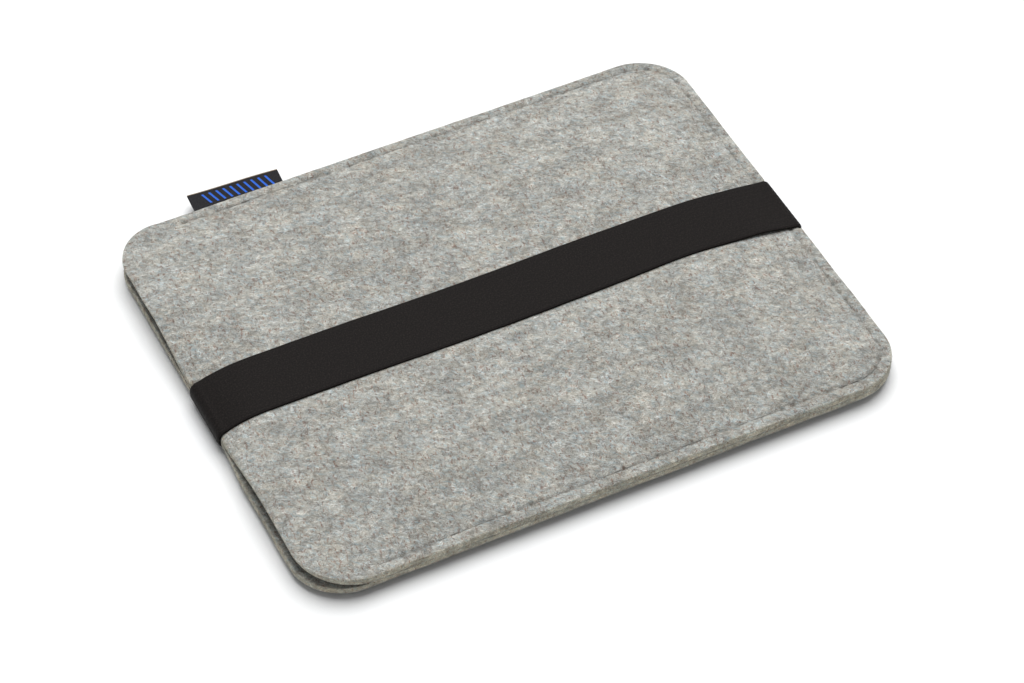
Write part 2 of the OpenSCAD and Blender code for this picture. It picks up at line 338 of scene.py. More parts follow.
def lower_inner_z(x, y):
    lip_drop = LOWER_LIP_DROP_FRONT if y < 0.0 else LOWER_LIP_DROP_BACK
    return SEAM_Z - SEAM_GAP / 2 - bulge(x, y, CROWN_DOWN, lip_drop)


def upper_outer_z(x, y):
    shut = bite(x, y) + groove(x, y) + rim_droop(x, y)
    return upper_inner_z(x, y) + FELT_T - shut + felt_surface(x, y, 1.0)


def lower_outer_z(x, y):
    shut = LOWER_BITE * bite(x, y) + groove(x, y) + rim_droop(x, y)
    return lower_inner_z(x, y) - FELT_T + shut - felt_surface(x, y, 21.0)


RIM_ROWS = [0.0, 0.55, 1.2, 2.0, 2.8, 3.5, 4.05, 4.5, 4.95, 5.4, 5.9, 6.6]
RING_N = 82
CENTRE_COLUMNS = 34
COLUMN_N = 2 * RING_N + CENTRE_COLUMNS
ROW_N = 2 * RING_N
OUTER_ROUND = 0.42 * MM
INNER_ROUND = 0.20 * MM
WALL_CUTS = 4
EDGE_WANDER = 0.22 * MM
EDGE_WANDER_L = 17.0 * MM
EDGE_WANDER_FADE = 9.0 * MM
OVERHANG_L = 30.0 * MM
OVERHANG_RISE = 25.0 * MM
CUT_ROUGH = 0.13 * MM
CUT_TUFT_L = 1.3 * MM
CUT_FIBRE_L = 0.5 * MM
CUT_FIBRE_SHARE = 0.6


def ring_inset(k):
    """Distance from the edge of ring k, counted inwards."""
    if k < len(RIM_ROWS):
        return RIM_ROWS[k] * MM
    last = RIM_ROWS[-1] * MM
    return last + (HALF_W - last) * (k - len(RIM_ROWS) + 1) / (RING_N - len(RIM_ROWS) + 1)


def straight_place(index, count, half):
    """Place of a grid line on the rectangle with square corners."""
    from_end = min(index, count - index)
    side = 1.0 if index > count / 2 else -1.0
    if from_end <= RING_N:
        return side * (half - ring_inset(from_end))
    return (index - count / 2) / (count / 2 - RING_N) * (half - HALF_W)


def rounded(x, y):
    """Moves a point of the square-cornered grid on to the ring with rounded corners."""
    into = min(HALF_L - abs(x), HALF_W - abs(y))
    radius = max(CORNER_R - into, 0.0)
    on_long_side = HALF_W - abs(y) <= HALF_L - abs(x)
    along, half_along, across = (x, HALF_L, HALF_W) if on_long_side else (y, HALF_W, HALF_L)
    straight = half_along - into - radius
    reach = abs(along) / (half_along - into) * (straight + math.pi / 4 * radius)
    turn = max(0.0, reach - straight) / radius if radius > 0.0 else 0.0
    new_along = math.copysign(min(reach, straight) + radius * math.sin(turn), along)
    new_across = across - into - radius * (1.0 - math.cos(turn))
    if on_long_side:
        return new_along, math.copysign(new_across, y)
    return math.copysign(new_across, x), new_along


def felt_outline(x, y, lower):
    """The die-cut outline wanders a little, and the lower lip's front half stands out further."""
    into = min(HALF_L - abs(x), HALF_W - abs(y))
    fade = math.exp(-max(0.0, into) / EDGE_WANDER_FADE)
    wander = EDGE_WANDER * ripple(x, y, EDGE_WANDER_L, 40.0 + lower) * fade
    size = max(math.hypot(x, y), CORNER_R)
    x, y = x + wander * x / size, y + wander * y / size
    if lower:
        near_mouth = 1.0 - smooth((x + HALF_L) / OVERHANG_L)
        overhang = LIP_OVERHANG_FRONT if y < 0.0 else LIP_OVERHANG_BACK
        x -= overhang * near_mouth * smooth((abs(y) - BAND_HALF_W) / OVERHANG_RISE)
    return x, y


def lip_lean(x, y, inwards, lower):
    """Shift of a lip's cut face, which leans back towards its inner side as the lips bend shut."""
    lean = LIP_LEAN_LOWER if lower else LIP_LEAN_UPPER
    return lean * inwards * math.exp(-max(0.0, x + HALF_L) / LIP_LEAN_L) * beside_band(y)


def felt_panel(name, outer_z, inner_z, lower):
    """
    A panel grown from a grid. Layer cut is 1 on the cut wall and 0 on the faces. Layer sewn holds
    the place along the seam in stitches, the distance off it in mm, and 1 where it is sewn.
    """
    shape = bmesh.new()
    cut = shape.verts.layers.float.new("cut")
    sewn = shape.verts.layers.float_vector.new("sewn")
    bmesh.ops.create_grid(shape, x_segments=COLUMN_N, y_segments=ROW_N, size=1.0)
    for vertex in shape.verts:
        column = round((vertex.co.x + 1.0) / 2.0 * COLUMN_N)
        row = round((vertex.co.y + 1.0) / 2.0 * ROW_N)
        x = straight_place(column, COLUMN_N, HALF_L)
        y = straight_place(row, ROW_N, HALF_W)
        x, y = rounded(x, y)
        vertex.co = (x, y, outer_z(x, y))
        along, off = seam_offset(x, y)
        begun = smooth((x - SEAM_START + STITCH_L) / STITCH_L)
        vertex[sewn] = (along / STITCH_PITCH, off / MM, begun)
    grown = bmesh.ops.extrude_face_region(shape, geom=shape.faces[:], use_keep_orig=True)
    for vertex in grown["geom"]:
        if isinstance(vertex, bmesh.types.BMVert):
            vertex.co.z = inner_z(vertex.co.x, vertex.co.y)
    bmesh.ops.recalc_face_normals(shape, faces=shape.faces[:])
    rim = [
        edge for edge in shape.edges
        if len(edge.link_faces) == 2
        and (abs(edge.link_faces[0].normal.z) < 0.5) != (abs(edge.link_faces[1].normal.z) < 0.5)
    ]
    outwards = -1.0 if lower else 1.0

    def on_outer_face(edge):
        return any(face.normal.z * outwards > 0.5 for face in edge.link_faces)

    outer_rim = [edge for edge in rim if on_outer_face(edge)]
    inner_rim = [edge for edge in rim if not on_outer_face(edge)]
    for edges, size in ((outer_rim, OUTER_ROUND), (inner_rim, INNER_ROUND)):
        bevelled = bmesh.ops.bevel(
            shape, geom=edges, offset=size, segments=2, profile=0.5, affect="EDGES", material=-1,
        )
        for vertex in bevelled["verts"]:
            vertex[cut] = 0.5
    upright_edges = [
        edge for edge in shape.edges
        if all(vertex[cut] > 0.0 for vertex in edge.verts)
        and abs(edge.verts[0].co.z - edge.verts[1].co.z) > OUTER_ROUND
    ]
    walls = bmesh.ops.subdivide_edges(
        shape, edges=upright_edges, cuts=WALL_CUTS, use_grid_fill=True,
    )
    for vertex in {v for v in walls["geom_inner"] if isinstance(v, bmesh.types.BMVert)}:
        vertex[cut] = 1.0
        out = Vector((vertex.normal.x, vertex.normal.y, 0.0))
        tuft = noise.noise(vertex.co / CUT_TUFT_L)
        fibre = noise.noise(vertex.co / CUT_FIBRE_L)
        vertex.co += out * CUT_ROUGH * (tuft + CUT_FIBRE_SHARE * fibre)
    for vertex in shape.verts:
        x, y = vertex.co.x, vertex.co.y
        outer = outer_z(x, y)
        inwards = clamp01((vertex.co.z - outer) / (inner_z(x, y) - outer))
        vertex.co.x, vertex.co.y = felt_outline(x, y, lower)
        vertex.co.x += lip_lean(x, y, inwards, lower)
    for face in shape.faces:
        face.smooth = True
    mesh = bpy.data.meshes.new(name)
    shape.to_mesh(mesh)
    shape.free()
    panel = bpy.data.objects.new(name, mesh)
    bpy.context.collection.objects.link(panel)
    return panel


upper_felt = felt_panel("upper_felt", upper_outer_z, upper_inner_z, False)
lower_felt = felt_panel("lower_felt", lower_outer_z, lower_inner_z, True)


def new_input(group, name, kind="NodeSocketFloat", value=None):
    socket = group.interface.new_socket(name=name, in_out="INPUT", socket_type=kind)
    if value is not None:
        socket.default_value = value


def new_output(group, name, kind="NodeSocketFloat"):
    group.interface.new_socket(name=name, in_out="OUTPUT", socket_type=kind)


def add_node(tree, kind, links=(), **settings):
    """Adds a node, sets what it is told and links its inputs."""
    made = tree.nodes.new(kind)
    for setting, value in settings.items():
        setattr(made, setting, value)
    for socket, source in links:
        if hasattr(source, "is_output"):
            tree.links.new(source, made.inputs[socket])
        else:
            made.inputs[socket].default_value = source
    return made


def math_node(tree, operation, *values):
    made = add_node(tree, "ShaderNodeMath", enumerate(values), operation=operation)
    return made.outputs[0]


def mix_colour(tree, factor, first, second, blend="MIX"):
    made = add_node(tree, "ShaderNodeMix", data_type="RGBA", blend_type=blend)
    for socket, source in (("Factor", factor), ("A", first), ("B", second)):
        target = next(s for s in made.inputs if s.name == socket and s.enabled)
        if hasattr(source, "is_output"):
            tree.links.new(source, target)
        else:
            target.default_value = source
    return next(s for s in made.outputs if s.enabled)


# One direction of wool: long thin specks that wander, brightest along a fibre.
wool = bpy.data.node_groups.new("wool_fibres", "ShaderNodeTree")
new_input(wool, "Vector", "NodeSocketVector")
new_input(wool, "Turn", value=0.0)
new_input(wool, "Fibre Length", value=4.0)
new_input(wool, "Fibre Width", value=0.5)
new_input(wool, "Wander", value=1.0)
new_input(wool, "Seed", value=0.0)
new_output(wool, "Value")
wool_in = add_node(wool, "NodeGroupInput")
wool_drift = add_node(
    wool, "ShaderNodeTexNoise",
    [("Vector", wool_in.outputs["Vector"]), ("Scale", 0.22), ("Detail", 1.0)],
    noise_dimensions="3D",
)
wool_shift = add_node(
    wool, "ShaderNodeVectorMath",
    [(0, wool_drift.outputs["Color"]), ("Scale", wool_in.outputs["Wander"])], operation="SCALE",
)
wool_bent = add_node(
    wool, "ShaderNodeVectorMath",
    [(0, wool_in.outputs["Vector"]), (1, wool_shift.outputs[0])], operation="ADD",
)
wool_turned = add_node(
    wool, "ShaderNodeVectorRotate",
    [("Vector", wool_bent.outputs[0]), ("Angle", wool_in.outputs["Turn"])],
    rotation_type="Z_AXIS",
)
wool_sizes = add_node(
    wool, "ShaderNodeCombineXYZ",
    [
        ("X", math_node(wool, "DIVIDE", 1.0, wool_in.outputs["Fibre Length"])),
        ("Y", math_node(wool, "DIVIDE", 1.0, wool_in.outputs["Fibre Width"])),
        ("Z", math_node(wool, "DIVIDE", 1.0, wool_in.outputs["Fibre Width"])),
    ],
)
wool_scaled = add_node(
    wool, "ShaderNodeVectorMath",
    [(0, wool_turned.outputs[0]), (1, wool_sizes.outputs[0])], operation="MULTIPLY",
)
wool_placed = add_node(
    wool, "ShaderNodeVectorMath",
    [(0, wool_scaled.outputs[0]), (1, wool_in.outputs["Seed"])], operation="ADD",
)
wool_noise = add_node(
    wool, "ShaderNodeTexNoise",
    [("Vector", wool_placed.outputs[0]), ("Scale", 1.0), ("Detail", 2.0), ("Roughness", 0.6)],
    noise_dimensions="3D",
)
add_node(wool, "NodeGroupOutput", [("Value", wool_noise.outputs["Fac"])])


def wool_layer(tree, vector, turn, length, width, wander, seed):
    layer = add_node(tree, "ShaderNodeGroup", node_tree=wool)
    tree.links.new(vector, layer.inputs["Vector"])
    for socket, value in (
        ("Turn", math.radians(turn)), ("Fibre Length", length), ("Fibre Width", width),
        ("Wander", wander), ("Seed", seed),
    ):
        layer.inputs[socket].default_value = value
    return layer.outputs["Value"]


# Stitches press dents into the felt, one at each hole, and a faint line between them. The dents
# give a bump and also darken the felt's colour as painted shade.
dents = bpy.data.node_groups.new("stitch_dents", "ShaderNodeTree")
new_input(dents, "Sewn", "NodeSocketVector")
new_input(dents, "Pitch", value=5.0)
new_input(dents, "Dent Length", value=1.5)
new_input(dents, "Dent Width", value=0.8)
new_input(dents, "Line Share", value=0.22)
new_output(dents, "Dent Depth And Shade")
dents_in = add_node(dents, "NodeGroupInput")
dents_axes = add_node(dents, "ShaderNodeSeparateXYZ", [("Vector", dents_in.outputs["Sewn"])])
dents_hole = math_node(dents, "ROUND", dents_axes.outputs["X"])
dents_along = math_node(
    dents, "MULTIPLY",
    math_node(dents, "SUBTRACT", dents_axes.outputs["X"], dents_hole), dents_in.outputs["Pitch"],
)
dents_chance = add_node(
    dents, "ShaderNodeTexWhiteNoise", [("W", dents_hole)], noise_dimensions="1D",
)
dents_off = math_node(dents, "DIVIDE", dents_axes.outputs["Y"], dents_in.outputs["Dent Width"])
dents_off = math_node(dents, "POWER", math_node(dents, "ABSOLUTE", dents_off), 2.0)
dents_far = math_node(dents, "DIVIDE", dents_along, dents_in.outputs["Dent Length"])
dents_far = math_node(dents, "POWER", math_node(dents, "ABSOLUTE", dents_far), 2.0)


def dents_fall(squared):
    return math_node(dents, "EXPONENT", math_node(dents, "MULTIPLY", squared, -1.0))


DENT_LEAST = 0.05
dents_depth = math_node(
    dents, "MULTIPLY_ADD", dents_chance.outputs["Value"], 1.0 - DENT_LEAST, DENT_LEAST,
)
dents_hollow = math_node(
    dents, "MULTIPLY", dents_fall(math_node(dents, "ADD", dents_off, dents_far)), dents_depth,
)
dents_line = math_node(dents, "MULTIPLY", dents_fall(dents_off), dents_in.outputs["Line Share"])
# The same mask gives the dents' depth for the bump and the painted shade in the colour.
dents_depth_and_shade = math_node(dents, "MAXIMUM", dents_hollow, dents_line)
dents_depth_and_shade = math_node(dents, "MULTIPLY", dents_depth_and_shade, dents_axes.outputs["Z"])
add_node(dents, "NodeGroupOutput", [("Dent Depth And Shade", dents_depth_and_shade)])

# Painted shade: the next colour darkens the felt in the stitch dents and along the seam line
# between them.
FELT_DENT_SHADE = (0.42, 0.40, 0.38, 1.0)
FELT_GREY = (0.325, 0.320, 0.291, 1.0)
FELT_PALE = (0.60, 0.615, 0.595, 1.0)
FELT_BROWN = (0.195, 0.115, 0.085, 1.0)
FELT_DARK = (0.075, 0.080, 0.080, 1.0)
FELT_BLUE = (0.31, 0.40, 0.43, 1.0)
FELT_WARM = (1.045, 0.997, 0.945, 1.0)
FELT_COOL = (0.990, 0.997, 1.005, 1.0)
# The cut faces' colour is a warmer tint of their own together with painted light: it makes them
# brighter than the faces, standing in for light bounced up from the table.
FELT_CUT_TINT_AND_LIGHT = (1.22, 1.17, 1.02, 1.0)
# A layer of wool reads: turn in degrees, length, width and wander in mm, seed.
STRAND_LAYERS = [(turn, 2.4, 0.31, 2.2, turn) for turn in (38.0, 97.0, 152.0)]
CLUMP_LAYER = (20.0, 3.4, 2.0, 4.0, 31.0)
PATCH_LAYER = (0.0, 15.0, 10.0, 6.0, 47.0)
BROWN_LAYER = (97.0, 2.3, 0.85, 2.0, 83.0)
BLUE_LAYER = (45.0, 2.4, 0.90, 2.0, 59.0)
HUE_LAYER = (10.0, 9.0, 6.0, 6.0, 91.0)
# A mask reads: the layer's values between which it fades, and what it gives at the two.
PALE_ALONG = (0.52, 0.69, 0.0, 0.78)
PALE_ACROSS = (0.53, 0.70, 0.0, 0.64)
DARK_FIBRES = (0.54, 0.70, 0.0, 0.66)
BROWN_FIBRES = (0.53, 0.68, 0.0, 0.80)
BLUE_FIBRES = (0.50, 0.68, 0.0, 0.66)
CLUMP_SHADE = (0.30, 0.70, 0.76, 1.24)
PATCH_SHADE = (0.32, 0.68, 0.86, 1.14)
HUE_DRIFT = (0.3, 0.7, 0.0, 1.0)


def felt_paint(name, seed, tint):
    """Mottled melange felt: grey wool with pale, blue-grey, brown and dark fibres in it."""
    paint = bpy.data.materials.new(name)
    paint.use_nodes = True
    tree = paint.node_tree
    shader = tree.nodes["Principled BSDF"]
    place = add_node(tree, "ShaderNodeTexCoord")
    in_mm = add_node(
        tree, "ShaderNodeMapping",
        [("Vector", place.outputs["Object"]), ("Scale", (1000.0, 1000.0, 1000.0))],
    ).outputs[0]

    def layer(turn, length, width, wander, offset):
        return wool_layer(tree, in_mm, turn, length, width, wander, seed + offset)

    def mask(value, low, high, bottom, top):
        made = add_node(
            tree, "ShaderNodeMapRange",
            [("Value", value), ("From Min", low), ("From Max", high),
             ("To Min", bottom), ("To Max", top)],
            interpolation_type="SMOOTHSTEP", clamp=True,
        )
        return made.outputs["Result"]

    along, upright, across = [layer(*strands) for strands in STRAND_LAYERS]
    clumps = layer(*CLUMP_LAYER)
    patches = layer(*PATCH_LAYER)
    brown = mask(layer(*BROWN_LAYER), *BROWN_FIBRES)
    blue = mask(layer(*BLUE_LAYER), *BLUE_FIBRES)
    hue = mix_colour(tree, mask(layer(*HUE_LAYER), *HUE_DRIFT), FELT_COOL, FELT_WARM)
    shade = mask(clumps, *CLUMP_SHADE)
    shade = math_node(tree, "MULTIPLY", shade, mask(patches, *PATCH_SHADE))
    shade = math_node(tree, "MULTIPLY", shade, tint)
    colour = mix_colour(tree, blue, FELT_GREY, FELT_BLUE)
    colour = mix_colour(tree, brown, colour, FELT_BROWN)
    colour = mix_colour(tree, mask(upright, *DARK_FIBRES), colour, FELT_DARK)
    colour = mix_colour(tree, mask(along, *PALE_ALONG), colour, FELT_PALE)
    colour = mix_colour(tree, mask(across, *PALE_ACROSS), colour, FELT_PALE)
    colour = mix_colour(tree, 1.0, colour, hue, "MULTIPLY")
    shade_colour = add_node(
        tree, "ShaderNodeCombineColor", [("Red", shade), ("Green", shade), ("Blue", shade)],
    ).outputs[0]
    colour = mix_colour(tree, 1.0, colour, shade_colour, "MULTIPLY")
    # Painted light on the cut walls: the colour below warms them and brightens them beyond the
    # felt's faces.
    cut = add_node(tree, "ShaderNodeAttribute", attribute_name="cut")
    colour = mix_colour(
        tree, cut.outputs["Fac"], colour, mix_colour(tree, 1.0, colour, FELT_CUT_TINT_AND_LIGHT, "MULTIPLY"),
    )
    sewn = add_node(tree, "ShaderNodeAttribute", attribute_name="sewn")
    stitched = add_node(tree, "ShaderNodeGroup", node_tree=dents)
    tree.links.new(sewn.outputs["Vector"], stitched.inputs["Sewn"])
    stitched.inputs["Pitch"].default_value = STITCH_PITCH / MM
    # Painted shade: the felt is darkened in the stitch dents and along the line between them, where
    # shade falls.
    dent_shaded = mix_colour(tree, 1.0, colour, FELT_DENT_SHADE, "MULTIPLY")
    colour = mix_colour(tree, stitched.outputs["Dent Depth And Shade"], colour, dent_shaded)
    tree.links.new(colour, shader.inputs["Base Color"])
    height = math_node(tree, "ADD", along, upright)
    height = math_node(tree, "ADD", height, across)
    height = math_node(tree, "ADD", height, clumps)
    height = math_node(tree, "SUBTRACT", height, stitched.outputs["Dent Depth And Shade"])
    bump = add_node(
        tree, "ShaderNodeBump",
        [("Height", height), ("Strength", 0.8), ("Distance", 0.35 * MM)],
    )
    tree.links.new(bump.outputs[0], shader.inputs["Normal"])
    shader.inputs["Roughness"].default_value = 0.95
    shader.inputs["Specular IOR Level"].default_value = 0.15
    shader.inputs["Sheen Weight"].default_value = 0.12
    shader.inputs["Sheen Roughness"].default_value = 0.6
    return paint


upper_paint = felt_paint("felt_upper", 3.0, 1.0)
lower_paint = felt_paint("felt_lower", 11.0, 0.97)
upper_felt.data.materials.append(upper_paint)
lower_felt.data.materials.append(lower_paint)
for felt, node_name in ((upper_felt, "upper_panel"), (lower_felt, "lower_panel")):
    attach(felt, "sleeve")
    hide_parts(node_name)


# ---- Loose wool ----
# Single wool fibres stand off the pressed felt. They lie low and curled on its faces and stick
# out further along the cut edges, where the die has freed them.

WOOL_R = 0.017 * MM
WOOL_POINTS = 4
TOP_WOOL_N = 6400
UNDER_WOOL_N = 3600
RIM_WOOL_N = 2600
FACE_MARGIN = 1.5 * MM
FACE_KEEP_IN = 0.6 * MM
FACE_BED = 0.02 * MM
FACE_BEND = 0.9
FACE_STEP = (0.5, 1.3)
FACE_RISE = (0.05, 0.28)
FACE_ARCH_FROM = 0.4
RIM_DEPTH = (0.08, 0.92)
RIM_SLANT = 1.4
RIM_CLIMB = 0.5
RIM_REACH = (0.12, 0.55)
RIM_LENGTH = (0.4, 1.1)
RIM_ROOT = 0.1 * MM
RIM_BOW_TURN = 0.8


def strand_curve(name, radius, resolution):
    data = bpy.data.curves.new(name, "CURVE")
    data.dimensions = "3D"
    data.bevel_depth = radius
    data.bevel_resolution = resolution
    data.use_fill_caps = True
    strand = bpy.data.objects.new(name, data)
    bpy.context.collection.objects.link(strand)
    return strand


def add_strand(strand, points):
    spline = strand.data.splines.new("POLY")
    spline.points.add(len(points) - 1)
    for point, place in zip(spline.points, points):
        point.co = (*place, 1.0)


def face_wool(name, count, outer_z, up, seed):
    """Fibres that lie curled on a panel's outer face."""
    wool_strands = strand_curve(name, WOOL_R, 0)
    chance = random.Random(seed)
    made = 0
    while made < count:
        x, y = chance.uniform(-HALF_L, HALF_L), chance.uniform(-HALF_W, HALF_W)
        if min(edge_distance(x, y), edge_distance(-x, y)) < FACE_MARGIN:
            continue
        made += 1
        heading = chance.uniform(0.0, math.tau)
        bend = chance.uniform(-FACE_BEND, FACE_BEND)
        step = chance.uniform(*FACE_STEP) * MM
        rise = chance.uniform(*FACE_RISE) * MM
        points = []
        for i in range(WOOL_POINTS):
            arch = math.sin(math.pi * (i + FACE_ARCH_FROM) / WOOL_POINTS)
            points.append((x, y, outer_z(x, y) + up * (rise * arch - FACE_BED)))
            x, y = x + step * math.cos(heading), y + step * math.sin(heading)
            heading += bend
            if min(edge_distance(x, y), edge_distance(-x, y)) < FACE_KEEP_IN:
                heading += math.pi / 2
                x, y = x * (HALF_L - MM) / HALF_L, y * (HALF_W - MM) / HALF_W
        add_strand(wool_strands, points)
    return wool_strands


def rim_point(share):
    """Place and outward direction on the felt's outline, at a share of its length."""
    straight_l, straight_w = 2 * (HALF_L - CORNER_R), 2 * (HALF_W - CORNER_R)
    arc = math.pi / 2 * CORNER_R
    left = share * 2 * (straight_l + straight_w + 2 * arc)
    corners = ((1, 1, straight_l), (1, -1, straight_w), (-1, -1, straight_l), (-1, 1, straight_w))
    for turn, (side_x, side_y, straight) in enumerate(corners):
        angle = math.pi / 2 * (1 - turn)
        out = Vector((math.cos(angle), math.sin(angle), 0.0))
        ahead = Vector((out.y, -out.x, 0.0))
        centre = Vector((side_x * (HALF_L - CORNER_R), side_y * (HALF_W - CORNER_R), 0.0))
        if left < straight:
            return centre + out * CORNER_R - ahead * (straight - left), out
        left -= straight
        if left < arc:
            swing = angle - left / CORNER_R
            out = Vector((math.cos(swing), math.sin(swing), 0.0))
            return centre + out * CORNER_R, out
        left -= arc
    return centre + out * CORNER_R, out


def rim_wool(name, count, lower, seed):
    """Fibres that stick out of a panel's cut edge."""
    wool_strands = strand_curve(name, WOOL_R, 0)
    chance = random.Random(seed)
    inner_z = lower_inner_z if lower else upper_inner_z
    outer_z = lower_outer_z if lower else upper_outer_z
    for _ in range(count):
        root, out = rim_point(chance.random())
        inner, outer = inner_z(root.x, root.y), outer_z(root.x, root.y)
        inwards = chance.uniform(*RIM_DEPTH)
        lean = lip_lean(root.x, root.y, inwards, lower)
        root.x, root.y = felt_outline(root.x, root.y, lower)
        root.x += lean
        root.z = outer + (inner - outer) * inwards
        if abs(root.y) < BAND_HALF_W + MM:
            continue
        along = Vector((-out.y, out.x, 0.0)) * chance.uniform(-RIM_SLANT, RIM_SLANT)
        along.z = chance.uniform(-RIM_CLIMB, RIM_CLIMB)
        reach = chance.uniform(*RIM_REACH) * MM
        length = chance.uniform(*RIM_LENGTH) * MM
        points = []
        for i in range(WOOL_POINTS):
            share = i / (WOOL_POINTS - 1)
            bow = reach * math.sin(math.pi * RIM_BOW_TURN * share)
            points.append(root - out * RIM_ROOT + out * bow + along * (length * share))
        add_strand(wool_strands, points)
    return wool_strands


wool_pieces = (
    (face_wool("wool_top", TOP_WOOL_N, upper_outer_z, 1.0, 101), upper_paint),
    (face_wool("wool_under", UNDER_WOOL_N, lower_outer_z, -1.0, 102), lower_paint),
    (rim_wool("wool_rim_upper", RIM_WOOL_N, False, 103), upper_paint),
    (rim_wool("wool_rim_lower", RIM_WOOL_N, True, 104), lower_paint),
)
for wool_piece, paint in wool_pieces:
    wool_piece.data.materials.append(paint)
    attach(wool_piece, "sleeve")


# ---- Edge seam ----
# A lockstitch in grey three-ply thread joins the panels. The needle thread shows above and the
# bobbin thread below, each diving into the same holes.

THREAD_PLY_R = 0.115 * MM
THREAD_TWIST_R = 0.115 * MM
THREAD_DIVE = 0.9 * MM
THREAD_PROUD = 0.35 * MM
STITCH_POINTS = 11
PLY_N = 3
TWISTS_PER_STITCH = 1.6
STITCH_LEAN = 0.12
STITCH_SINK = 0.06
STITCH_INSET = 0.04


def stitch_arc(share):
    """Height of a stitch above its holes' floor, as a share of the dive."""
    return 1.0 - abs(2.0 * share - 1.0) ** 5


def seam_thread(name, outer_z, up):
    thread = strand_curve(name, THREAD_PLY_R, 1)
    chance = random.Random(5 if up > 0 else 6)
    for stitch in range(STITCH_N):
        lean = chance.uniform(-STITCH_LEAN, STITCH_LEAN) * MM
        sink = chance.uniform(-STITCH_SINK, STITCH_SINK) * MM
        phase = chance.uniform(0.0, math.tau)
        ends = [seam_point((stitch + end) * STITCH_PITCH) for end in (0, 1)]
        floor_z = sum(outer_z(end[0], end[1]) for end in ends) / 2
        for ply in range(PLY_N):
            points = []
            for i in range(STITCH_POINTS):
                share = i / (STITCH_POINTS - 1)
                reach = STITCH_INSET + (1.0 - 2.0 * STITCH_INSET) * share
                x, y, dx, dy = seam_point((stitch + reach) * STITCH_PITCH)
                turn = phase + math.tau * (TWISTS_PER_STITCH * share + ply / PLY_N)
                sideways = THREAD_TWIST_R * math.cos(turn) + lean * (2.0 * share - 1.0)
                lift = THREAD_TWIST_R * math.sin(turn) + THREAD_DIVE * (stitch_arc(share) - 1.0)
                z = floor_z + up * (THREAD_PROUD + sink + lift)
                points.append((x - dy * sideways, y + dx * sideways, z))
            add_strand(thread, points)
    return thread


needle_thread = seam_thread("seam_thread_top", upper_outer_z, 1.0)
bobbin_thread = seam_thread("seam_thread_under", lower_outer_z, -1.0)

THREAD_DARK = (0.20, 0.195, 0.18, 1.0)
THREAD_PALE = (0.34, 0.335, 0.31, 1.0)


def flecked_paint(name, dark, pale, scale, detail, roughness):
    """A plain paint that varies in fine flecks. Also gives the flecks, for a bump."""
    paint = bpy.data.materials.new(name)
    paint.use_nodes = True
    tree = paint.node_tree
    shader = tree.nodes["Principled BSDF"]
    place = add_node(tree, "ShaderNodeTexCoord")
    noise_node = add_node(
        tree, "ShaderNodeTexNoise",
        [("Vector", place.outputs["Object"]), ("Scale", scale), ("Detail", detail)],
    )
    fleck = noise_node.outputs["Fac"]
    tree.links.new(mix_colour(tree, fleck, dark, pale), shader.inputs["Base Color"])
    shader.inputs["Roughness"].default_value = roughness
    return paint, fleck


thread_paint, thread_fleck = flecked_paint(
    "thread_grey", THREAD_DARK, THREAD_PALE, 900.0, 2.0, 0.8,
)
thread_tree = thread_paint.node_tree
thread_shader = thread_tree.nodes["Principled BSDF"]
thread_bump = add_node(
    thread_tree, "ShaderNodeBump",
    [("Height", thread_fleck), ("Strength", 0.4), ("Distance", 0.05 * MM)],
)
thread_tree.links.new(thread_bump.outputs[0], thread_shader.inputs["Normal"])
thread_shader.inputs["Specular IOR Level"].default_value = 0.3
for thread, node_name in (
    (needle_thread, "seam_needle_thread"), (bobbin_thread, "seam_bobbin_thread"),
):
    thread.data.materials.append(thread_paint)
    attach(thread, "sleeve")
    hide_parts(node_name)


# ---- Elastic band ----
# One strip of black woven elastic, sold as 30 mm wide, runs lengthwise round the sleeve. It has a
# fine weft woven over rubber cores, is stretched hard, and its two ends meet underneath.

BAND_W = 2 * BAND_HALF_W
BAND_T = 1.1 * MM
BAND_TOUCH = 0.04 * MM
MOUTH_TURN_R = 3.0 * MM
CLOSED_TURN_R = 1.8 * MM
MOUTH_UNDER_TURN_R = 2.6 * MM
CLOSED_UNDER_TURN_R = 1.2 * MM
BAND_TURN_STEPS = 8
BAND_STEP = 1.6 * MM
BAND_ROWS = 84
RIB_N = 12
RIB_H = 0.02 * MM
SELVEDGE_W = 0.9 * MM
SELVEDGE_THIN = 0.62
SELVEDGE_WANDER = 0.10 * MM
SELVEDGE_WANDER_L = 9.0 * MM
STRAIN_RISE = 3.0 * MM
JOIN_X = HALF_L - 30.0 * MM
JOIN_GAP = 0.2 * MM
BAND_END_X = HALF_L + BAND_TOUCH
FRONT_LIFT = ((1.0, 114.0, 11.0),)
BACK_LIFT = ((0.5, 93.0, 14.0), (-0.5, -119.0, 9.0))
FRONT_DRAWN = ((1.5, 80.0, 28.0), (-0.35, 122.0, 8.0))


def band_over_z(x):
    return upper_inner_z(x, 0.0) + FELT_T - bite(x, 0.0) + 2 * BAND_TOUCH


def band_under_z(x):
    felt_z = lower_inner_z(x, 0.0) - FELT_T + LOWER_BITE * bite(x, 0.0)
    return max(BAND_T, felt_z - 2 * BAND_TOUCH)


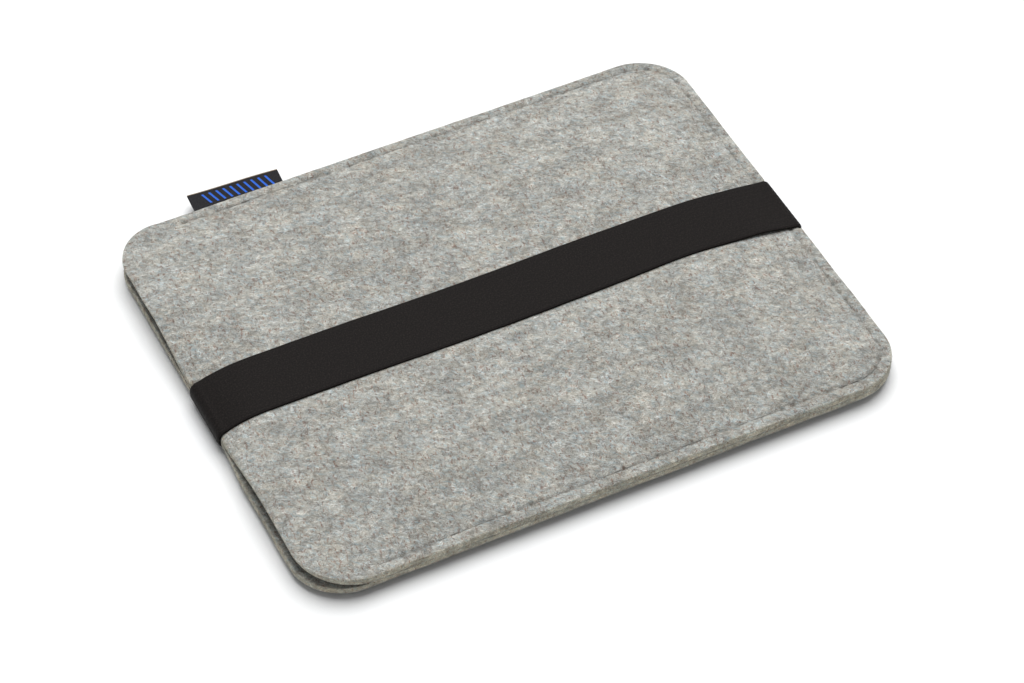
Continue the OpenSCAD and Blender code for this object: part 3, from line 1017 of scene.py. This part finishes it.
def band_line():
    """Inside line of the loop, from the join round the closed end, over the top and back."""
    line = []

    def strand(start, end, height):
        steps = max(2, round(abs(end - start) / BAND_STEP))
        for i in range(steps):
            x = start + (end - start) * i / steps
            line.append(Vector((x, 0.0, height(x))))

    def turn(side, height, radius, start):
        x = side * (BAND_END_X - radius)
        centre = Vector((x, 0.0, height(x) + (radius if height is band_under_z else -radius)))
        for i in range(BAND_TURN_STEPS):
            angle = start + math.pi / 2 * i / (BAND_TURN_STEPS - 1)
            line.append(centre + radius * Vector((math.cos(angle), 0.0, math.sin(angle))))

    strand(JOIN_X + JOIN_GAP / 2, BAND_END_X - CLOSED_UNDER_TURN_R, band_under_z)
    turn(1.0, band_under_z, CLOSED_UNDER_TURN_R, -math.pi / 2)
    turn(1.0, band_over_z, CLOSED_TURN_R, 0.0)
    strand(BAND_END_X - CLOSED_TURN_R - BAND_STEP, MOUTH_TURN_R - BAND_END_X, band_over_z)
    turn(-1.0, band_over_z, MOUTH_TURN_R, math.pi / 2)
    turn(-1.0, band_under_z, MOUTH_UNDER_TURN_R, math.pi)
    strand(MOUTH_UNDER_TURN_R - BAND_END_X + BAND_STEP, JOIN_X - JOIN_GAP / 2, band_under_z)
    join_end = JOIN_X - JOIN_GAP / 2
    line.append(Vector((join_end, 0.0, band_under_z(join_end))))
    return line


def lengths_along(line):
    """Distance of each point of a line from the line's start."""
    along = [0.0]
    for before, after in zip(line, line[1:]):
        along.append(along[-1] + (after - before).length)
    return along


def outward(line, i, across):
    """Direction from a ribbon's inside line to its outside, at point i."""
    ahead = line[min(i + 1, len(line) - 1)] - line[max(i - 1, 0)]
    return across.cross(ahead).normalized()


def woven_ribbon(name, line, across, half_w, rows, thickness):
    """A ribbon drawn along a line: thickness gives it at a distance along and a place across."""
    along = lengths_along(line)
    columns = len(line) - 1
    shape = bmesh.new()
    bmesh.ops.create_grid(shape, x_segments=columns, y_segments=rows, size=1.0)
    flat_map = shape.loops.layers.uv.new("ribbon")

    def column_of(vertex):
        return round((vertex.co.x + 1.0) / 2.0 * columns)

    for face in shape.faces:
        face.smooth = True
        for loop in face.loops:
            place = (along[column_of(loop.vert)], loop.vert.co.y * half_w)
            loop[flat_map].uv = (place[0] / MM, place[1] / MM)
    inner = []
    for vertex in shape.verts:
        column, offset = column_of(vertex), vertex.co.y * half_w
        inside = line[column] + across * offset
        inner.append(inside)
        depth = thickness(along[column], offset)
        vertex.co = inside + outward(line, column, across) * depth
    shape.verts.index_update()
    order = shape.verts.layers.int.new("order")
    for vertex in shape.verts:
        vertex[order] = vertex.index
    grown = bmesh.ops.extrude_face_region(shape, geom=shape.faces[:], use_keep_orig=True)
    for vertex in grown["geom"]:
        if isinstance(vertex, bmesh.types.BMVert):
            vertex.co = inner[vertex[order]]
    shape.verts.layers.int.remove(order)
    bmesh.ops.recalc_face_normals(shape, faces=shape.faces[:])
    mesh = bpy.data.meshes.new(name)
    shape.to_mesh(mesh)
    shape.free()
    ribbon = bpy.data.objects.new(name, mesh)
    bpy.context.collection.objects.link(ribbon)
    return ribbon


def elastic_thickness(along, offset):
    """The selvedges are thinner than the middle, which the cores rib faintly."""
    edge = smooth((BAND_HALF_W - abs(offset)) / SELVEDGE_W)
    rib = RIB_H * math.cos(math.tau * RIB_N * offset / BAND_W)
    woven = (BAND_T - RIB_H) * (SELVEDGE_THIN + (1.0 - SELVEDGE_THIN) * edge)
    return woven + rib * edge


ACROSS_BAND = Vector((0.0, 1.0, 0.0))
band_route = band_line()
elastic = woven_ribbon(
    "elastic", band_route, ACROSS_BAND, BAND_HALF_W, BAND_ROWS, elastic_thickness,
)


def swell(bumps, x):
    """Sum of smooth bumps, each given by its height, middle and spread in millimetres."""
    return sum(high * MM * math.exp(-((x / MM - mid) / spread) ** 2) for high, mid, spread in bumps)


def band_strain(place):
    """Shift of a point of the upper strand, whose edges stand off the felt and draw in."""
    over = smooth((place.z - SEAM_Z) / STRAIN_RISE)
    to_front = clamp01(0.5 - place.y / BAND_W)
    up = to_front ** 2 * swell(FRONT_LIFT, place.x) + (1.0 - to_front) * swell(BACK_LIFT, place.x)
    return Vector((0.0, over * to_front ** 2 * swell(FRONT_DRAWN, place.x), over * up))


for vertex in elastic.data.vertices:
    vertex.co += band_strain(vertex.co)
    share = abs(vertex.co.y) / BAND_HALF_W
    wander = ripple(vertex.co.x, math.copysign(1.0, vertex.co.y), SELVEDGE_WANDER_L, 71.0)
    vertex.co.y += SELVEDGE_WANDER * wander * share ** 6

# Woven ribbon: short floats across the ribbon, each row of them half a step from the last.
weave = bpy.data.node_groups.new("ribbon_weave", "ShaderNodeTree")
new_input(weave, "Vector", "NodeSocketVector")
new_input(weave, "Pitch Along", value=0.8)
new_input(weave, "Pitch Across", value=0.8)
new_output(weave, "Height")
weave_in = add_node(weave, "NodeGroupInput")
weave_axes = add_node(weave, "ShaderNodeSeparateXYZ", [("Vector", weave_in.outputs["Vector"])])
weave_across = math_node(
    weave, "DIVIDE", weave_axes.outputs["Y"], weave_in.outputs["Pitch Across"],
)
weave_half = math_node(weave, "MULTIPLY", math_node(weave, "FLOOR", weave_across), 0.5)
weave_along = math_node(
    weave, "DIVIDE", weave_axes.outputs["X"], weave_in.outputs["Pitch Along"],
)
weave_along = math_node(weave, "ADD", weave_along, weave_half)


def weave_hump(place):
    turned = math_node(weave, "SINE", math_node(weave, "MULTIPLY", place, math.pi))
    return math_node(weave, "ABSOLUTE", turned)


weave_row = math_node(weave, "POWER", weave_hump(weave_across), 0.5)
weave_height = math_node(weave, "MULTIPLY", weave_hump(weave_along), weave_row)
add_node(weave, "NodeGroupOutput", [("Height", weave_height)])


def woven_paint(name, yarn, gap, lint, pitch, gloss):
    """A dark woven ribbon: yarn colour on the floats, darker between, and a little lint."""
    paint = bpy.data.materials.new(name)
    paint.use_nodes = True
    tree = paint.node_tree
    shader = tree.nodes["Principled BSDF"]
    flat_place = add_node(tree, "ShaderNodeUVMap", uv_map="ribbon").outputs[0]
    floats = add_node(tree, "ShaderNodeGroup", node_tree=weave)
    tree.links.new(flat_place, floats.inputs["Vector"])
    floats.inputs["Pitch Along"].default_value = pitch
    floats.inputs["Pitch Across"].default_value = pitch
    dust = add_node(
        tree, "ShaderNodeTexNoise",
        [("Vector", flat_place), ("Scale", 1.6), ("Detail", 4.0), ("Roughness", 0.7)],
    )
    dust_mask = add_node(
        tree, "ShaderNodeMapRange",
        [("Value", dust.outputs["Fac"]), ("From Min", 0.48), ("From Max", 0.72),
         ("To Max", 0.60)],
        clamp=True,
    )
    colour = mix_colour(tree, floats.outputs["Height"], gap, yarn)
    colour = mix_colour(tree, dust_mask.outputs["Result"], colour, lint)
    tree.links.new(colour, shader.inputs["Base Color"])
    bump = add_node(
        tree, "ShaderNodeBump",
        [("Height", floats.outputs["Height"]), ("Strength", 0.6), ("Distance", 0.10 * MM)],
    )
    tree.links.new(bump.outputs[0], shader.inputs["Normal"])
    shader.inputs["Roughness"].default_value = gloss
    shader.inputs["Specular IOR Level"].default_value = 0.12
    shader.inputs["Sheen Weight"].default_value = 0.02
    shader.inputs["Sheen Roughness"].default_value = 0.4
    return paint, colour


ELASTIC_YARN = (0.0088, 0.0066, 0.0060, 1.0)
ELASTIC_GAP = (0.0040, 0.0034, 0.0032, 1.0)
ELASTIC_LINT = (0.040, 0.031, 0.028, 1.0)
elastic_paint, _ = woven_paint(
    "elastic_black", ELASTIC_YARN, ELASTIC_GAP, ELASTIC_LINT, 0.62, 0.72,
)
elastic.data.materials.append(elastic_paint)
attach(elastic, "band")
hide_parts("elastic_band")


# ---- Rubber cores ----
# Twelve rubber strands lie inside the elastic and give it its pull. Only their cut ends can be
# seen, where the elastic's two ends meet.

CORE_R = 0.36 * MM

cores = strand_curve("rubber_cores", CORE_R, 0)
core_line = [
    place + outward(band_route, i, ACROSS_BAND) * (BAND_T / 2)
    for i, place in enumerate(band_route)
]
for k in range(RIB_N):
    across = ACROSS_BAND * (BAND_W * ((k + 0.5) / RIB_N - 0.5))
    points = [place + across for place in core_line[::2]]
    add_strand(cores, [place + band_strain(place) for place in points])
RUBBER_DARK = (0.075, 0.068, 0.060, 1.0)
RUBBER_TALC = (0.16, 0.15, 0.14, 1.0)
rubber_paint, _ = flecked_paint("rubber_core", RUBBER_DARK, RUBBER_TALC, 1400.0, 3.0, 0.7)
cores.data.materials.append(rubber_paint)
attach(cores, "band")
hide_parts("elastic_cores")


# ---- Band join ----
# A zigzag lockstitch in black thread closes the elastic to a loop. It shows on the underside,
# and its bobbin thread lies between the elastic and the felt.

ZIGZAG_W = 7.0 * MM
ZIGZAG_N = 12
ZIGZAG_MARGIN = 2.0 * MM
ZIGZAG_POINTS = 9
ZIGZAG_PLY_R = 0.13 * MM
ZIGZAG_DIVE = 0.35 * MM
ZIGZAG_SUNK = 0.75
ZIGZAG_TWISTS = 2.0


def zigzag_place(k, share, surface_z, up):
    """Point of stitch k of the zigzag, on the elastic's face given by surface_z."""
    ends = [
        Vector((
            JOIN_X + (0.5 if i % 2 else -0.5) * ZIGZAG_W,
            (BAND_W - 2 * ZIGZAG_MARGIN) * (i / ZIGZAG_N - 0.5),
            0.0,
        ))
        for i in (k, k + 1)
    ]
    place = ends[0].lerp(ends[1], share)
    place.z = surface_z(place.x) + up * ZIGZAG_DIVE * (stitch_arc(share) - ZIGZAG_SUNK)
    return place, (ends[1] - ends[0]).normalized()


def zigzag_thread(name, surface_z, up):
    thread = strand_curve(name, ZIGZAG_PLY_R, 1)
    for k in range(ZIGZAG_N):
        for ply in range(PLY_N):
            points = []
            for i in range(ZIGZAG_POINTS):
                share = i / (ZIGZAG_POINTS - 1)
                place, ahead = zigzag_place(k, share, surface_z, up)
                turn = math.tau * (ZIGZAG_TWISTS * share + ply / PLY_N)
                sideways = Vector((-ahead.y, ahead.x, 0.0))
                place += ZIGZAG_PLY_R * math.cos(turn) * sideways
                place.z += ZIGZAG_PLY_R * math.sin(turn)
                points.append(place)
            add_strand(thread, points)
    return thread


def band_face_z(x):
    """Height of the elastic's outer face under the sleeve."""
    return band_under_z(x) - BAND_T


join_under = zigzag_thread("join_thread_outer", band_face_z, -1.0)
join_over = zigzag_thread("join_thread_inner", band_under_z, 1.0)
JOIN_DARK = (0.012, 0.012, 0.012, 1.0)
JOIN_PALE = (0.045, 0.044, 0.043, 1.0)
join_paint, _ = flecked_paint("thread_black", JOIN_DARK, JOIN_PALE, 2500.0, 2.0, 0.5)
for thread, node_name in ((join_under, "join_needle_thread"), (join_over, "join_bobbin_thread")):
    thread.data.materials.append(join_paint)
    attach(thread, "band")
    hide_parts(node_name)


# ---- Label ----
# A black satin ribbon, folded in two and caught askew in the back seam near the mouth. A row of
# plain blue bars is woven into it, and it waves a little towards its free end.

label_low, label_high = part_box("label_tab")
LABEL_W = 40.0 * MM
LABEL_OUT = 11.0 * MM
LABEL_IN = 8.0 * MM
LABEL_T = 0.3 * MM
LABEL_PLY_GAP = 0.12 * MM
LABEL_SKEW = math.radians(-4.0)
LABEL_STEP = 0.28 * MM
LABEL_ROWS = 150
LABEL_FOLD_STEPS = 8
LABEL_MID = Vector(((label_low.x + label_high.x) / 2, HALF_W, SEAM_Z))
LABEL_WARP = 0.35 * MM
LABEL_WARP_L = 9.0 * MM
ACROSS_LABEL = Vector((-math.cos(LABEL_SKEW), -math.sin(LABEL_SKEW), 0.0))
OUT_OF_SEAM = Vector((-math.sin(LABEL_SKEW), math.cos(LABEL_SKEW), 0.0))
BAR_N = 10
BAR_PITCH = 3.1 * MM
BAR_W = 0.95 * MM
BAR_LEAN = 0.35
BAR_FROM = 1.9 * MM
BAR_H = 6.2 * MM
BAR_RAISED = 0.05 * MM


def label_line():
    """Inside line of the folded ribbon, from the lower ply's tail round the fold and back."""
    steps = round((LABEL_OUT + LABEL_IN) / LABEL_STEP)
    half_gap = LABEL_PLY_GAP / 2
    reach = [-LABEL_IN + (LABEL_OUT + LABEL_IN) * i / steps for i in range(steps + 1)]
    line = [(out, -half_gap) for out in reach]
    for i in range(1, LABEL_FOLD_STEPS):
        angle = -math.pi / 2 + math.pi * i / LABEL_FOLD_STEPS
        line.append((LABEL_OUT + half_gap * math.cos(angle), half_gap * math.sin(angle)))
    line += [(out, half_gap) for out in reversed(reach)]
    return [LABEL_MID + OUT_OF_SEAM * out + Vector((0.0, 0.0, up)) for out, up in line]


label_route = label_line()
LABEL_L = lengths_along(label_route)[-1]


def bar_share(along, offset):
    """1 on a woven bar of the upper ply, 0 between the bars."""
    down = along - LABEL_L / 2
    if not BAR_FROM < down < BAR_FROM + BAR_H:
        return 0.0
    place = (offset + BAR_LEAN * (down - BAR_FROM)) / BAR_PITCH + BAR_N / 2
    if not 0.0 < place < BAR_N:
        return 0.0
    return 1.0 if abs(place - math.floor(place) - 0.5) < BAR_W / BAR_PITCH / 2 else 0.0


def label_thickness(along, offset):
    return LABEL_T + BAR_RAISED * bar_share(along, offset)


label = woven_ribbon(
    "label", label_route, ACROSS_LABEL, LABEL_W / 2, LABEL_ROWS, label_thickness,
)
for vertex in label.data.vertices:
    out = smooth((vertex.co.y - HALF_W) / LABEL_OUT)
    vertex.co.z += LABEL_WARP * out * math.sin((vertex.co.x - LABEL_MID.x) / LABEL_WARP_L)

LABEL_YARN = (0.019, 0.0175, 0.0205, 1.0)
LABEL_GAP = (0.008, 0.0075, 0.009, 1.0)
LABEL_LINT = (0.045, 0.042, 0.044, 1.0)
LABEL_BLUE = (0.030, 0.130, 0.60, 1.0)
LABEL_FOLD_EDGE = (0.30, 0.23, 0.16, 1.0)
FOLD_EDGE_W = 0.32 * MM
label_paint, label_ground = woven_paint(
    "label_black", LABEL_YARN, LABEL_GAP, LABEL_LINT, 0.34, 0.55,
)
label_tree = label_paint.node_tree
label_flat = add_node(label_tree, "ShaderNodeUVMap", uv_map="ribbon")
label_axes = add_node(label_tree, "ShaderNodeSeparateXYZ", [("Vector", label_flat.outputs[0])])


def between(tree, value, low, high):
    above = math_node(tree, "GREATER_THAN", value, low)
    return math_node(tree, "MULTIPLY", above, math_node(tree, "LESS_THAN", value, high))


label_down = math_node(label_tree, "SUBTRACT", label_axes.outputs["X"], LABEL_L / 2 / MM)
label_lean = math_node(
    label_tree, "MULTIPLY", math_node(label_tree, "SUBTRACT", label_down, BAR_FROM / MM), BAR_LEAN,
)
label_place = math_node(label_tree, "ADD", label_axes.outputs["Y"], label_lean)
label_place = math_node(label_tree, "DIVIDE", label_place, BAR_PITCH / MM)
label_place = math_node(label_tree, "ADD", label_place, BAR_N / 2)
label_step = math_node(label_tree, "FRACT", label_place)
label_bars = between(
    label_tree, label_step, 0.5 - BAR_W / BAR_PITCH / 2, 0.5 + BAR_W / BAR_PITCH / 2,
)
label_bars = math_node(
    label_tree, "MULTIPLY", label_bars, between(label_tree, label_place, 0.0, BAR_N),
)
label_bars = math_node(
    label_tree, "MULTIPLY", label_bars,
    between(label_tree, label_down, BAR_FROM / MM, (BAR_FROM + BAR_H) / MM),
)
# The ribbon is lighter and warmer in a thin line along the fold.
label_fold_edge = between(label_tree, label_down, -FOLD_EDGE_W / MM, FOLD_EDGE_W / MM)
label_colour = mix_colour(label_tree, label_bars, label_ground, LABEL_BLUE)
label_colour = mix_colour(label_tree, label_fold_edge, label_colour, LABEL_FOLD_EDGE)
label_tree.links.new(label_colour, label_tree.nodes["Principled BSDF"].inputs["Base Color"])
label.data.materials.append(label_paint)
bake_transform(label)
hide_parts("label_tail", "label_tab")
